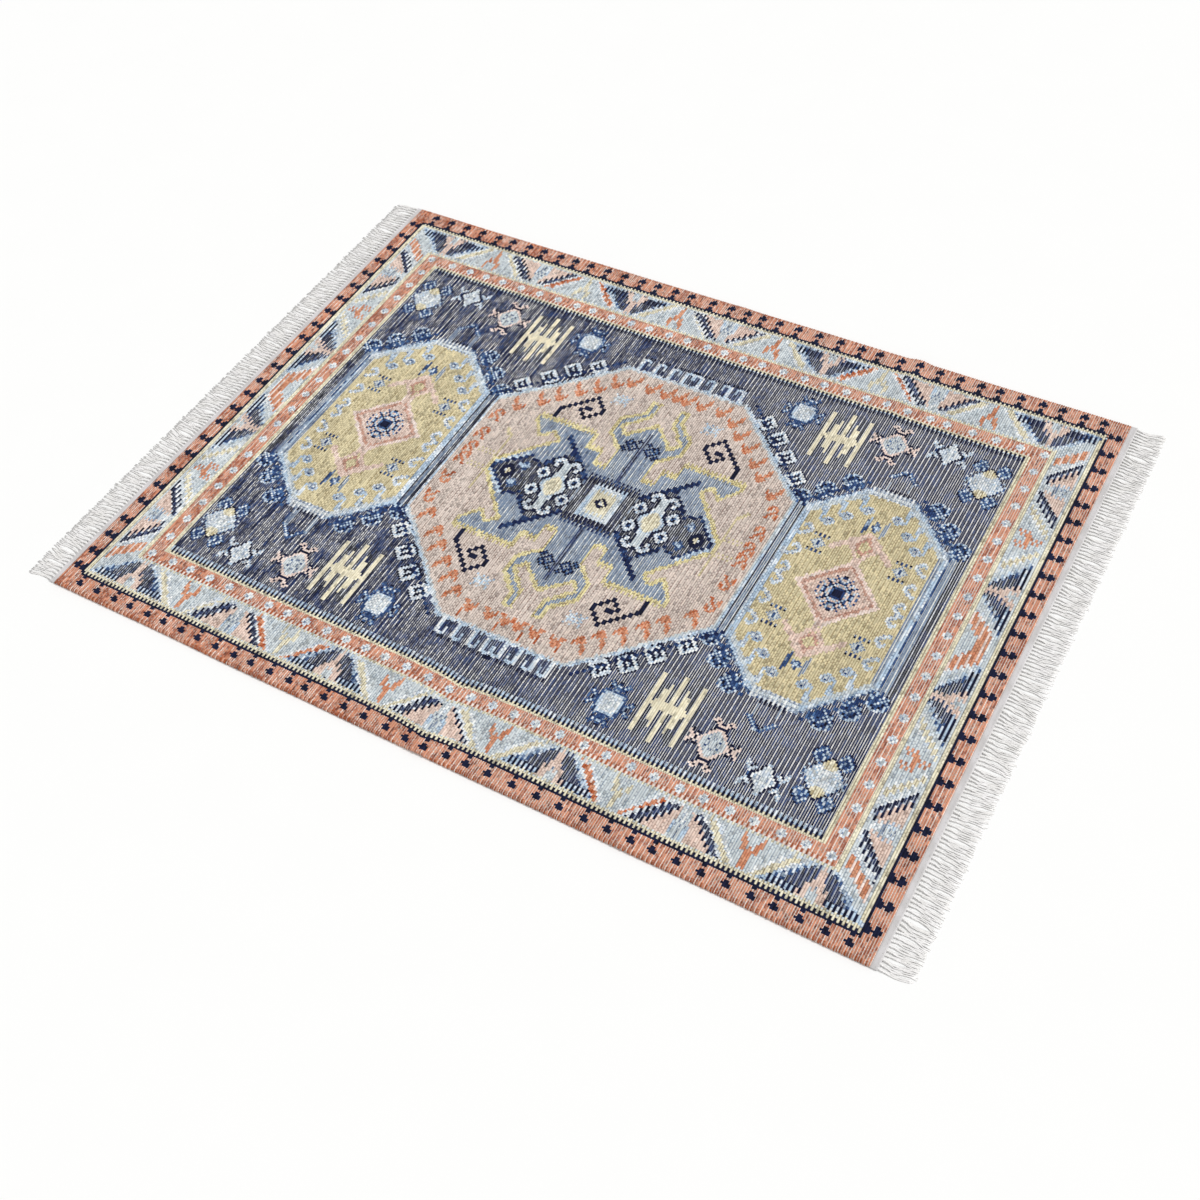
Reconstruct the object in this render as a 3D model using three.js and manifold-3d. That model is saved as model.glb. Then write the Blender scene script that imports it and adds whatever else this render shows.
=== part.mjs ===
// A flat-woven kilim rug lying on a floor, with a fringed heading strip at each short end.
// Millimetres, +Z up, +X along the rug's length. The origin is on the floor under the middle.
import * as THREE from 'three';
import { mergeVertices } from 'three/addons/utils/BufferGeometryUtils.js';
import Module from 'manifold-3d';

// woven body
const BODY_LENGTH = 1594;
const BODY_WIDTH = 1200;
const BODY_THICKNESS = 5;
const CELL_LENGTH = 66;      // spacing of the surface's stations along the rug
const CELL_WIDTH = 75;       // and across it
const EDGE_ROUND = 3;        // width of the rounded edge
const EDGE_DROP = 1.6;       // how far the rounded edge falls
const SIDE_WANDER = 1.2;     // how far the long sides draw in
const SWELL = 0.35;          // unevenness of the upper face

// creases left by packing, across the whole width; near and far are the lifts at the two long sides
const CREASES = [
  { x: 5, spread: 34, near: 2.2, middle: 0.8, far: 1.2 },
  { x: 386, spread: 30, near: 0.8, middle: 0.6, far: 4.5 },
];
const CREASE_STATIONS = [-1, -0.72, -0.48, -0.24, 0, 0.24, 0.48, 0.72, 1];

// heading strips and fringes
const SEAM_GAP = 0.3;        // between the body's end and the heading strip
const HEADING_WIDTH = 11;
const HEADING_THICKNESS = 3.2;
const STRANDS_PER_END = 150;
const STRAND_REACH = 55;     // longest strand, beyond the heading strip
const STRAND_SHORTER = 4.5;  // how much shorter the shortest one is
const STRAND_WIDTH = 5.2;
const STRAND_HEIGHT = 2.8;
const ROOT_DEPTH = 4;        // how far a strand runs into the strip
const TIP_TAPER = 0.6;

const STRAND_PITCH = BODY_WIDTH / STRANDS_PER_END;

const wasm = await Module();
wasm.setup();

const wool = new THREE.MeshStandardMaterial({ color: 0x8d8591, roughness: 0.95, metalness: 0 });
const cotton = new THREE.MeshStandardMaterial({ color: 0xdedbe0, roughness: 0.9, metalness: 0 });

// a smooth bump, 1 in the middle and exactly 0 from one spread away
function bump(distance, spread) {
  if (Math.abs(distance) >= spread) return 0;
  return 0.5 + 0.5 * Math.cos(Math.PI * distance / spread);
}

// a crease's height at y: a curve through its values at the near side, the middle and the far side
function creaseHeight(crease, y) {
  const t = 2 * y / BODY_WIDTH;
  const side = t < 0 ? crease.near : crease.far;
  return crease.middle + (side - crease.middle) * t * t;
}

// how far the cloth lifts off the floor
function lift(x, y) {
  let z = 0;
  for (const crease of CREASES) z += creaseHeight(crease, y) * bump(x - crease.x, crease.spread);
  return z;
}

// the long sides draw in a little between their straight stretches
function halfWidth(x) {
  return BODY_WIDTH / 2 - SIDE_WANDER * (0.5 - 0.5 * Math.cos(x / 61)) * (0.5 - 0.5 * Math.cos(x / 143));
}

function swell(x, y) {
  return SWELL * Math.sin(x / 47 + y / 160) * Math.cos(y / 83 - x / 210);
}

// how far the upper face falls towards an edge that is `inside` mm away
function edgeFall(inside) {
  const t = Math.min(inside / EDGE_ROUND, 1);
  return EDGE_DROP * (1 - t) * (1 - t);
}

// even stations from -half to half, with one more beside each end for the rounded edge
function stations(half, cell) {
  const count = Math.round(2 * half / cell);
  const list = [-half, -half + EDGE_ROUND];
  for (let i = 1; i < count; i++) list.push(-half + 2 * half * i / count);
  list.push(half - EDGE_ROUND, half);
  return list;
}

function lengthStations() {
  const nearCrease = x => CREASES.some(crease => Math.abs(x - crease.x) < crease.spread + 8);
  const list = stations(BODY_LENGTH / 2, CELL_LENGTH).filter(x => !nearCrease(x));
  for (const crease of CREASES) {
    for (const share of CREASE_STATIONS) list.push(crease.x + share * crease.spread);
  }
  return list.sort((a, b) => a - b);
}

// one closed slab: an upper and a lower face over the same stations, joined around the edge
function bodyGeometry() {
  const xs = lengthStations();
  const ys = stations(BODY_WIDTH / 2, CELL_WIDTH);
  const positions = [];
  const faces = [];
  const layerSize = xs.length * ys.length;
  for (const upper of [false, true]) {
    for (const x of xs) {
      for (const y of ys) {
        const flatY = y * halfWidth(x) / (BODY_WIDTH / 2);
        const inside = Math.min(BODY_LENGTH / 2 - Math.abs(x), BODY_WIDTH / 2 - Math.abs(y));
        const thickness = BODY_THICKNESS + (swell(x, y) - edgeFall(inside));
        positions.push(x, flatY, lift(x, y) + (upper ? thickness : 0));
      }
    }
  }
  const at = (i, j, upper) => (upper ? layerSize : 0) + i * ys.length + j;
  for (let i = 0; i + 1 < xs.length; i++) {
    for (let j = 0; j + 1 < ys.length; j++) {
      const above = [at(i, j, true), at(i + 1, j, true), at(i + 1, j + 1, true), at(i, j + 1, true)];
      const below = [at(i, j, false), at(i + 1, j, false), at(i + 1, j + 1, false), at(i, j + 1, false)];
      faces.push(above[0], above[1], above[2], above[0], above[2], above[3]);
      faces.push(below[0], below[2], below[1], below[0], below[3], below[2]);
    }
  }
  const rim = [];
  for (let i = 0; i + 1 < xs.length; i++) rim.push([i, 0]);
  for (let j = 0; j + 1 < ys.length; j++) rim.push([xs.length - 1, j]);
  for (let i = xs.length - 1; i > 0; i--) rim.push([i, ys.length - 1]);
  for (let j = ys.length - 1; j > 0; j--) rim.push([0, j]);
  rim.forEach(([i, j], k) => {
    const [nextI, nextJ] = rim[(k + 1) % rim.length];
    const low = at(i, j, false);
    const lowNext = at(nextI, nextJ, false);
    const high = at(i, j, true);
    const highNext = at(nextI, nextJ, true);
    faces.push(low, lowNext, highNext, low, highNext, high);
  });
  const geometry = new THREE.BufferGeometry();
  geometry.setAttribute('position', new THREE.Float32BufferAttribute(positions, 3));
  geometry.setIndex(faces);
  geometry.computeVertexNormals();
  return geometry;
}

// neighbouring strands lean and gather together, so this changes slowly along the strip
function lean(y) {
  return 4.6 * Math.sin(y / 52 + 0.6) + 2.4 * Math.sin(y / 23 + 1.9) + 3.5 * Math.pow(y / 600, 5);
}

// each strand's own small differences, between -1 and 1
function own(index, seed) {
  return Math.sin(index * (2.399 + seed) + 5.1 * seed) * Math.cos(index * 0.731 + seed);
}

// stations along strand number `index`: x from the strip's outer face, y, and half the width
function strandStations(index) {
  const y = -BODY_WIDTH / 2 + STRAND_PITCH * (index + 0.5);
  const reach = STRAND_REACH - STRAND_SHORTER * (0.5 + 0.5 * own(index, 0.37));
  const sway = 0.5 * own(index, 1.13);
  return [
    { x: -ROOT_DEPTH, y, half: STRAND_WIDTH / 2 },
    { x: 0.52 * reach, y: y + 0.45 * lean(y) + sway, half: STRAND_WIDTH / 2 },
    { x: reach, y: y + lean(y) - sway, half: TIP_TAPER * STRAND_WIDTH / 2 },
  ];
}

// a three-sided strand that lies on one of its faces, at z = 0
function strandGeometry(index) {
  const rows = strandStations(index);
  const positions = [];
  const faces = [];
  for (const { x, y, half } of rows) {
    const height = STRAND_HEIGHT * half / (STRAND_WIDTH / 2);
    positions.push(x, y - half, 0, x, y + half, 0, x, y, height);
  }
  for (let i = 0; i + 1 < rows.length; i++) {
    for (let side = 0; side < 3; side++) {
      const a = 3 * i + side;
      const b = 3 * i + (side + 1) % 3;
      faces.push(a, b, b + 3, a, b + 3, a + 3);
    }
  }
  const last = 3 * (rows.length - 1);
  faces.push(0, 2, 1, last, last + 1, last + 2);
  return turnedOutwards(positions, faces);
}

// a geometry from positions and faces, with every face turned over if the volume comes out negative
function turnedOutwards(positions, faces) {
  let volume = 0;
  const p = index => new THREE.Vector3().fromArray(positions, 3 * index);
  for (let i = 0; i < faces.length; i += 3) {
    volume += p(faces[i]).dot(p(faces[i + 1]).cross(p(faces[i + 2])));
  }
  const order = volume < 0 ? faces.slice().reverse() : faces;
  const geometry = new THREE.BufferGeometry();
  geometry.setAttribute('position', new THREE.Float32BufferAttribute(positions, 3));
  geometry.setIndex(order);
  return geometry;
}

function toSolid(geometry) {
  const bare = geometry.clone();
  bare.deleteAttribute('normal');
  bare.deleteAttribute('uv');
  const merged = mergeVertices(bare);
  const vertProperties = new Float32Array(merged.attributes.position.array);
  const triVerts = new Uint32Array(merged.index.array);
  return new wasm.Manifold(new wasm.Mesh({ numProp: 3, vertProperties, triVerts }));
}

function toGeometry(solid) {
  const mesh = solid.getMesh();
  const geometry = new THREE.BufferGeometry();
  geometry.setAttribute('position', new THREE.BufferAttribute(new Float32Array(mesh.vertProperties), 3));
  geometry.setIndex(new THREE.BufferAttribute(new Uint32Array(mesh.triVerts), 1));
  geometry.computeVertexNormals();
  return geometry;
}

// a heading strip with its strands fused to it; the strip's outer face is at x = 0
function fringeGeometry() {
  const strip = new THREE.BoxGeometry(HEADING_WIDTH, BODY_WIDTH, HEADING_THICKNESS);
  strip.translate(-HEADING_WIDTH / 2, 0, HEADING_THICKNESS / 2);
  const solids = [toSolid(strip)];
  for (let index = 0; index < STRANDS_PER_END; index++) solids.push(toSolid(strandGeometry(index)));
  return toGeometry(wasm.Manifold.union(solids));
}

function addFringe(group, name, geometry, turn) {
  const end = new THREE.Group();
  end.rotation.z = turn;
  const fringe = new THREE.Mesh(geometry, cotton);
  fringe.name = name;
  fringe.position.x = BODY_LENGTH / 2 + SEAM_GAP + HEADING_WIDTH;
  end.add(fringe);
  group.add(end);
}

const group = new THREE.Group();

const body = new THREE.Mesh(bodyGeometry(), wool);
body.name = 'rug_body';
group.add(body);

const fringe = fringeGeometry();
addFringe(group, 'fringe_right', fringe, 0);
addFringe(group, 'fringe_left', fringe, Math.PI);

export default group;
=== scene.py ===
"""A flat-woven kilim rug with a fringe at each short end, lying on a pale floor."""
import math

import bpy
import numpy as np
from bpy.props import FloatProperty, FloatVectorProperty, IntProperty, PointerProperty
from mathutils import Matrix, Vector


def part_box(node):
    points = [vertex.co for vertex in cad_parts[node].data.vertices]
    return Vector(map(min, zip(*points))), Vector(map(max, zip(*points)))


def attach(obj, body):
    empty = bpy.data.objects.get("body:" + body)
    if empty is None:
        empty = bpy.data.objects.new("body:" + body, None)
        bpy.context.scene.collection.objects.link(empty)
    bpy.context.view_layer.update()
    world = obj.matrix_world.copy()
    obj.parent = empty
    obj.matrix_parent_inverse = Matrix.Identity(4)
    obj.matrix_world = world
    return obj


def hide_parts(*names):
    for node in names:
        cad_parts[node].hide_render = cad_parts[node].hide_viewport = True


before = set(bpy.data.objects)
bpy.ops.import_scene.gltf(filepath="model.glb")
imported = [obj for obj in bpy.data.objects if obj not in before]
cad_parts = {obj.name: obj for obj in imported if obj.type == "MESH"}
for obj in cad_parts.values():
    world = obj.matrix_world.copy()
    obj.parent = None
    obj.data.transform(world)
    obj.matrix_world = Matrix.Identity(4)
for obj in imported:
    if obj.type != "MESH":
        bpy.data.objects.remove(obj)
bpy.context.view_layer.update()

bl_info = {
    "name": "Kilim rug",
    "version": (1, 0, 0),
    "blender": (4, 5, 0),
    "location": "View3D > Sidebar > Kilim rug",
    "description": "Weaves a flat kilim rug over its CAD frame and sets its stage",
    "category": "Object",
}

MM = 0.001

# The solids' own form, in millimetres. A crease is its x, its spread, and its lift at the near side, in the
# middle and at the far side
HALF_LENGTH = round(float(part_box("rug_body")[1][0]) / MM, 1)
HALF_WIDTH = 600
THICKNESS = 5.0
EDGE_ROUND = 3.0
EDGE_DROP = 1.6
SIDE_WANDER = 1.2
SWELL = 0.35
CREASES = ((5.0, 34.0, 2.2, 0.8, 1.2), (386.0, 30.0, 0.8, 0.6, 4.5))
SEAM_GAP = 0.3
HEADING_WIDTH = 11.0
HEADING_THICKNESS = 3.2
STRAND_REACH = 55.0
STRAND_SHORTER = 4.5

# The ribbed mesh: the shares of the rib relief above and below the solid's face and, in millimetres, how far
# its ends stay inside or reach past the solid's sides, and how high the selvedge's own points lie
CREST_SHARE = 0.4
FURROW_SHARE = 0.6
FURROW_INSET = 1.1
SELVEDGE_INSET = 0.7
SELVEDGE_ROUND = 0.5
RAGGED = 0.7
SELVEDGE_FURROW = 1.7
SELVEDGE_CREST = 1.9

# Rows are one millimetre high, counted from the near side. A crest has points where its yarn changes, at the
# first and the last station, and at the other stations that have no point within STATION_GAP rows
ROWS = 2 * HALF_WIDTH
STATIONS = (3, *range(100, ROWS, 100), ROWS - 3)
STATION_GAP = 25
UNDER_ROWS = (0, *STATIONS, ROWS)

# The length of one stitch along a rib, in metres; a row and a bead of the charts, in millimetres
STITCH = 0.0084
ROW = 4.2
BEAD = 8.3

# The heading tapes, in millimetres: how far they go past the solid's sides and stay above the floor, how
# uneven they are, and how round their edges
TAPE_OVERLAP = 0.8
TAPE_CLEARANCE = 0.2
TAPE_RIPPLE = 0.15
TAPE_ROUND = 1.1
TAPE_STEPS = 150

# A strand's plies have a station at these distances from the tape, in millimetres, and one at the tip. They
# are twisted up to TWIST_END, and lie loose from LOOSENING further on
PLIES = 4
PLY_STATIONS = (-3.4, 0.6, 4.2, 8.0, 12.5, 19.0, 27.0, 36.0, 45.5)
TWIST_END = 7.0
LOOSENING = 10.0

# Half the length and half the width that the cloth's own map covers, in metres
MAP_LENGTH = 0.8
MAP_WIDTH = 0.603

# The floor, in metres
FLOOR_SIZE = 30
FLOOR_DEPTH = 0.0003


def linear(code):
    """A colour written as six hexadecimal digits, as linear red, green and blue."""
    values = [int(code[i:i + 2], 16) / 255 for i in (0, 2, 4)]
    return tuple(v / 12.92 if v <= 0.04045 else ((v + 0.055) / 1.055) ** 2.4 for v in values)


def length(label, about, default, **more):
    """A length that the user can change."""
    return FloatProperty(name=label, description=about, default=default, unit="LENGTH", precision=5, **more)


def colour(label, about, code):
    """A colour that the user can change."""
    return FloatVectorProperty(name=label, description=about, size=3, subtype="COLOR", min=0, max=1,
                               default=linear(code))


class RugSizes(bpy.types.PropertyGroup):
    """Sizes and numbers of the rug's parts, and the camera's lens"""
    ribs: IntProperty(name="Ribs", description="Number of ribs along the body, taken as an even number",
                      default=384, min=40, max=600)
    rib_height: length("Rib height", "How far a rib's crest stands above the furrows beside it", 0.0008,
                       min=0, max=0.003)
    tooth: length("Tooth", "How far neighbouring ribs step apart where two colours meet", 0.0035,
                  min=0, max=0.01)
    strands: IntProperty(name="Strands", description="Number of fringe strands at each end", default=150,
                         min=10, max=400)
    strand_width: length("Strand width", "Width of a fringe strand near its root", 0.0052,
                         min=0.001, max=0.01)
    focal_length: FloatProperty(name="Focal length", description="The camera's focal length", default=43.82,
                                unit="CAMERA", min=10, max=200)


class YarnColours(bpy.types.PropertyGroup):
    """Colours of the rug's yarns and of the floor"""
    field: colour("Field", "Navy ribs of the field", "0a173c")
    stripe: colour("Stripe", "Navy ribs between white threads", "0b0e20")
    navy: colour("Navy", "Navy figures", "161b36")
    ink: colour("Ink", "Navy ribs between grey-blue threads", "121836")
    knots: colour("Knots", "Dark blue knotted lines", "1d2b55")
    speckle: colour("Speckled blue", "Blue flecked with light blue", "3a5480")
    deep: colour("Deep blue", "Deep blue hooks and rings", "2c4473")
    denim: colour("Denim", "Grey-blue bands", "74869f")
    light: colour("Light blue", "Light blue outlines", "bccfe0")
    ice: colour("Ice blue", "Ground of the main border", "d2d9db")
    white: colour("White", "White outlines and star centres", "f0f1ef")
    cream: colour("Cream", "Cream lines and bands", "e6dfc4")
    butter: colour("Butter", "Outline of the horned figure", "e4d8a4")
    comb: colour("Comb", "Combs on the field", "ece3c8")
    yellow: colour("Straw", "Ground of the side medallions", "d9cda8")
    blush: colour("Blush", "Ground of the middle medallion", "dccec4")
    pink: colour("Pink", "Pink bars and outlines", "e2cabd")
    pinkline: colour("Rose", "Rose lines in the pink bars", "c99d8b")
    peach: colour("Peach", "Ground of the terracotta borders", "cf8a6b")
    rosy: colour("Pale rose", "Outlines of the rosy stars", "ecd7cd")
    terra: colour("Terracotta", "Terracotta hooks", "bf6943")
    salmon: colour("Salmon", "Light parts of the terracotta figures", "dc9f7f")
    rust: colour("Rust", "Teeth at the edges of the guard band", "a4552f")
    cotton: colour("Cotton", "Fringe strands", "faf8f7")
    tape: colour("Tape", "Heading tape", "e4e1e2")
    floor: colour("Floor", "Pale floor", "fbfbfa")


# For each yarn: the colour in its furrows and how strongly it shows, the colour of its flecks and how many
# there are, how strongly painted shade darkens its stitches' ends, and how far its figures stand up in
# millimetres. The furrow colour is the colour of the threads between the ribs for field, stripe, navy, ink,
# denim, peach and rust; for the other yarns it is painted shade in the furrows, a darker tone of the yarn
# itself
FURROWS = {
    "field": ("fbf9f4", 1.0, "2c4476", 0.6, 0.0, 0.0),
    "stripe": ("f6f8fb", 0.9, "1c2856", 0.6, 0.0, 0.1),
    "navy": ("2b3358", 0.35, "0a0c1c", 0.8, 0.3, 0.25),
    "ink": ("b4bccb", 0.95, "2f4478", 0.6, 0.2, 0.2),
    "knots": ("0b1026", 0.8, "48699c", 0.45, 0.8, 0.3),
    "speckle": ("152046", 0.6, "c3d5e6", 0.75, 0.6, 0.2),
    "deep": ("121a40", 0.7, "5c82b4", 0.6, 0.6, 0.25),
    "denim": ("fbfaf2", 1.0, "4c5e7c", 0.7, 0.3, 0.0),
    "light": ("6480a6", 0.6, "f6f8f8", 0.7, 0.8, 0.2),
    "ice": ("74899f", 0.7, "e4e7e6", 0.35, 0.6, 0.0),
    "white": ("9db0c6", 0.5, "b4c5d8", 0.6, 0.8, 0.25),
    "cream": ("7c6640", 0.75, "faf5e0", 0.5, 0.45, 0.15),
    "butter": ("84693a", 0.8, "f6edc4", 0.5, 0.9, 0.2),
    "comb": ("c3b48a", 0.4, "f8f1da", 0.6, 0.15, 0.25),
    "yellow": ("8c7444", 0.7, "eadcb2", 0.4, 0.6, 0.0),
    "blush": ("7c5c50", 0.75, "e8d6c9", 0.35, 0.6, 0.0),
    "pink": ("a2755f", 0.5, "f4e2d6", 0.5, 0.6, 0.2),
    "pinkline": ("94624f", 0.6, "dcbcae", 0.7, 0.8, 0.0),
    "rosy": ("b08c7c", 0.4, "f8ece4", 0.6, 0.4, 0.2),
    "peach": ("f8ece2", 0.9, "8c4229", 0.8, 0.7, 0.0),
    "terra": ("8a3418", 0.7, "dc9f7f", 0.75, 0.7, 0.25),
    "salmon": ("9c563a", 0.5, "bf6943", 0.5, 0.6, 0.2),
    "rust": ("f0d6c6", 0.7, "8c4426", 0.5, 0.4, 0.1),
}
NUMBER = {yarn: i for i, yarn in enumerate(FURROWS)}
STANDING = [look[-1] for look in FURROWS.values()]

# Letters of the charts
LETTERS = {"N": "navy", "D": "deep", "S": "denim", "L": "light", "W": "white", "I": "ice", "C": "cream",
           "T": "terra", "t": "salmon", "Y": "yellow", "Q": "speckle", "R": "rosy"}

# Where the figures of the borders stand, in millimetres from the rug's middle
TOP_STARS = (
    -749, -707, -665, -622, -583, -543, -504, -463, -424, -386, -348, -309, -265, -225, -186, -147, -106,
    -60, -18, 19, 56, 92, 133, 179, 223, 268, 309, 352, 390, 433, 475, 514, 554, 594, 634, 674, 713, 752)
BOTTOM_STARS = (
    -750, -711, -670, -631, -590, -551, -511, -472, -431, -391, -352, -311, -269, -235, -197, -154, -114,
    -68, -25, 14, 53, 92, 132, 178, 223, 265, 310, 353, 393, 433, 473, 514, 555, 596, 637, 678, 718, 755)
LEFT_PAIRS = (
    547, 503, 455, 410, 363, 318, 272, 227, 181, 137, 91, 42, -7, -47, -92, -138, -186, -232, -279, -325,
    -370, -418, -459, -502, -540)
RIGHT_PAIRS = (
    557, 510, 465, 419, 372, 328, 282, 236, 190, 144, 98, 52, 6, -40, -86, -131, -177, -223, -269, -315,
    -361, -407, -452, -497, -540)
FIGURE_ORDER = ("navy", "cream", "pink", "striped", "navy", "cream", "pink", "cream", "navy", "striped",
                "pink", "cream", "navy")
TOP_FIGURES = (-666, -549.5, -435, -324, -210, -104, 4, 110.5, 227, 338, 451, 560.5, 676.6)
BOTTOM_FIGURES = (-668.5, -552, -439, -329, -220, -109.5, 4, 106.5, 223.5, 337.5, 450, 562.5, 678)
END_FIGURES = ((0, "arch"), (122, "navy"), (254, "plain"), (386, "pink"))
SLANT = [(15, 62), (27, 62), (84, 2), (69, 2)]
TOP_DOTS = (
    -675, -621, -577, -536, -492, -450, -404, -358, -312, -272, -227, -184, -140, -97, -52, -9, 31, 70, 112,
    157, 203, 246, 291, 333, 374, 416, 460, 495, 543, 589, 634, 679)
BOTTOM_DOTS = (
    -675, -628, -585, -541, -496, -450, -404, -361, -319, -275, -234, -192, -148, -104, -60, -12, 27, 70,
    112, 155, 201, 243, 287, 331, 375, 418, 461, 505, 549, 592, 635, 678)

# The main border's figures, in millimetres: their height along the sides and at the short ends, where those
# at the ends stand, and half the rows that one takes up
FIGURE_HEIGHT = 62
END_HEIGHT = 52
END_FOOT = 699
END_REACH = 110

# The field's design is centred a little to the right of the borders' and squeezed to reach the same ends
FIELD_MIDDLE = 9
FIELD_END = 657

# Teeth above and below the middle medallion: first and last rib, both ends and yarn
MEDALLION_TEETH = ((-5, -2, 349, 384, "ink"), (-1, -1, 345, 378, "light"), (0, 0, 345, 380, "white"),
                   (-4, -4, 362, 378, "light"), (-3, -2, 374, 381, "light"), (-5, -5, 380, 387, "navy"),
                   (-3, -3, 380, 387, "navy"), (0, 0, 379, 387, "navy"))

# The lights, and the camera as solved from the rug's corners: its axes, and its place in metres
SUN_PLACE = (2.6, 0.7, 2.2)
SUN_SPREAD = 14
SUN_STRENGTH = 2.15
SKY_STRENGTH = 0.6
CAMERA_RIGHT = (0.86437228, 0.49681605, -0.0776812)
CAMERA_UP = (-0.34778734, 0.70222296, 0.62123013)
CAMERA_BACK = (0.36318662, -0.50995757, 0.7797684)
CAMERA_PLACE = (1.03858, -1.48405, 1.97875)


def bump(distance, spread):
    """A smooth bump, 1 in the middle and 0 from one spread away."""
    inside = np.abs(distance) < spread
    return np.where(inside, 0.5 + 0.5 * np.cos(math.pi * distance / spread), 0.0)


def lift(x, y):
    """How far the cloth lifts off the floor at its two packing creases, in millimetres."""
    z = 0.0
    t = y / HALF_WIDTH
    for middle_x, spread, near, middle, far in CREASES:
        side = np.where(t < 0, near, far)
        z = z + (middle + (side - middle) * t * t) * bump(x - middle_x, spread)
    return z


def half_width(x):
    """Half the cloth's width at x, where the long sides draw in a little."""
    return HALF_WIDTH - SIDE_WANDER * (0.5 - 0.5 * np.cos(x / 61)) * (0.5 - 0.5 * np.cos(x / 143))


def face_height(x, y):
    """The solid's upper face, in millimetres above the cloth's underside."""
    inside = np.minimum(HALF_LENGTH - np.abs(x), HALF_WIDTH - np.abs(y))
    t = np.clip(inside / EDGE_ROUND, 0, 1)
    swell = SWELL * np.sin(x / 47 + y / 160) * np.cos(y / 83 - x / 210)
    return THICKNESS + swell - EDGE_DROP * (1 - t) ** 2


def reach_of(points, margin=0):
    """The smallest box round the points, with a margin."""
    xs, ys = zip(*points)
    return min(xs) - margin, min(ys) - margin, max(xs) + margin, max(ys) + margin


def near_line(x, y, points, half):
    """Where x and y are no further than half from the line through the points, across and along the ribs."""
    near = np.zeros(np.broadcast(x, y).shape, bool)
    for (ax, ay), (bx, by) in zip(points, points[1:]):
        dx, dy = bx - ax, by - ay
        t = np.clip(((x - ax) * dx + (y - ay) * dy) / (dx * dx + dy * dy), 0, 1)
        near |= np.maximum(np.abs(x - ax - t * dx), np.abs(y - ay - t * dy)) <= half
    return near


# Ways of turning a figure over, as factors of its x and y
ONCE = ((1, 1),)
OVER = ((1, -1),)
SIDES = ((1, 1), (-1, 1))
HALVES = ((1, 1), (1, -1))
FOUR = ((1, 1), (-1, 1), (1, -1), (-1, -1))


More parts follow.
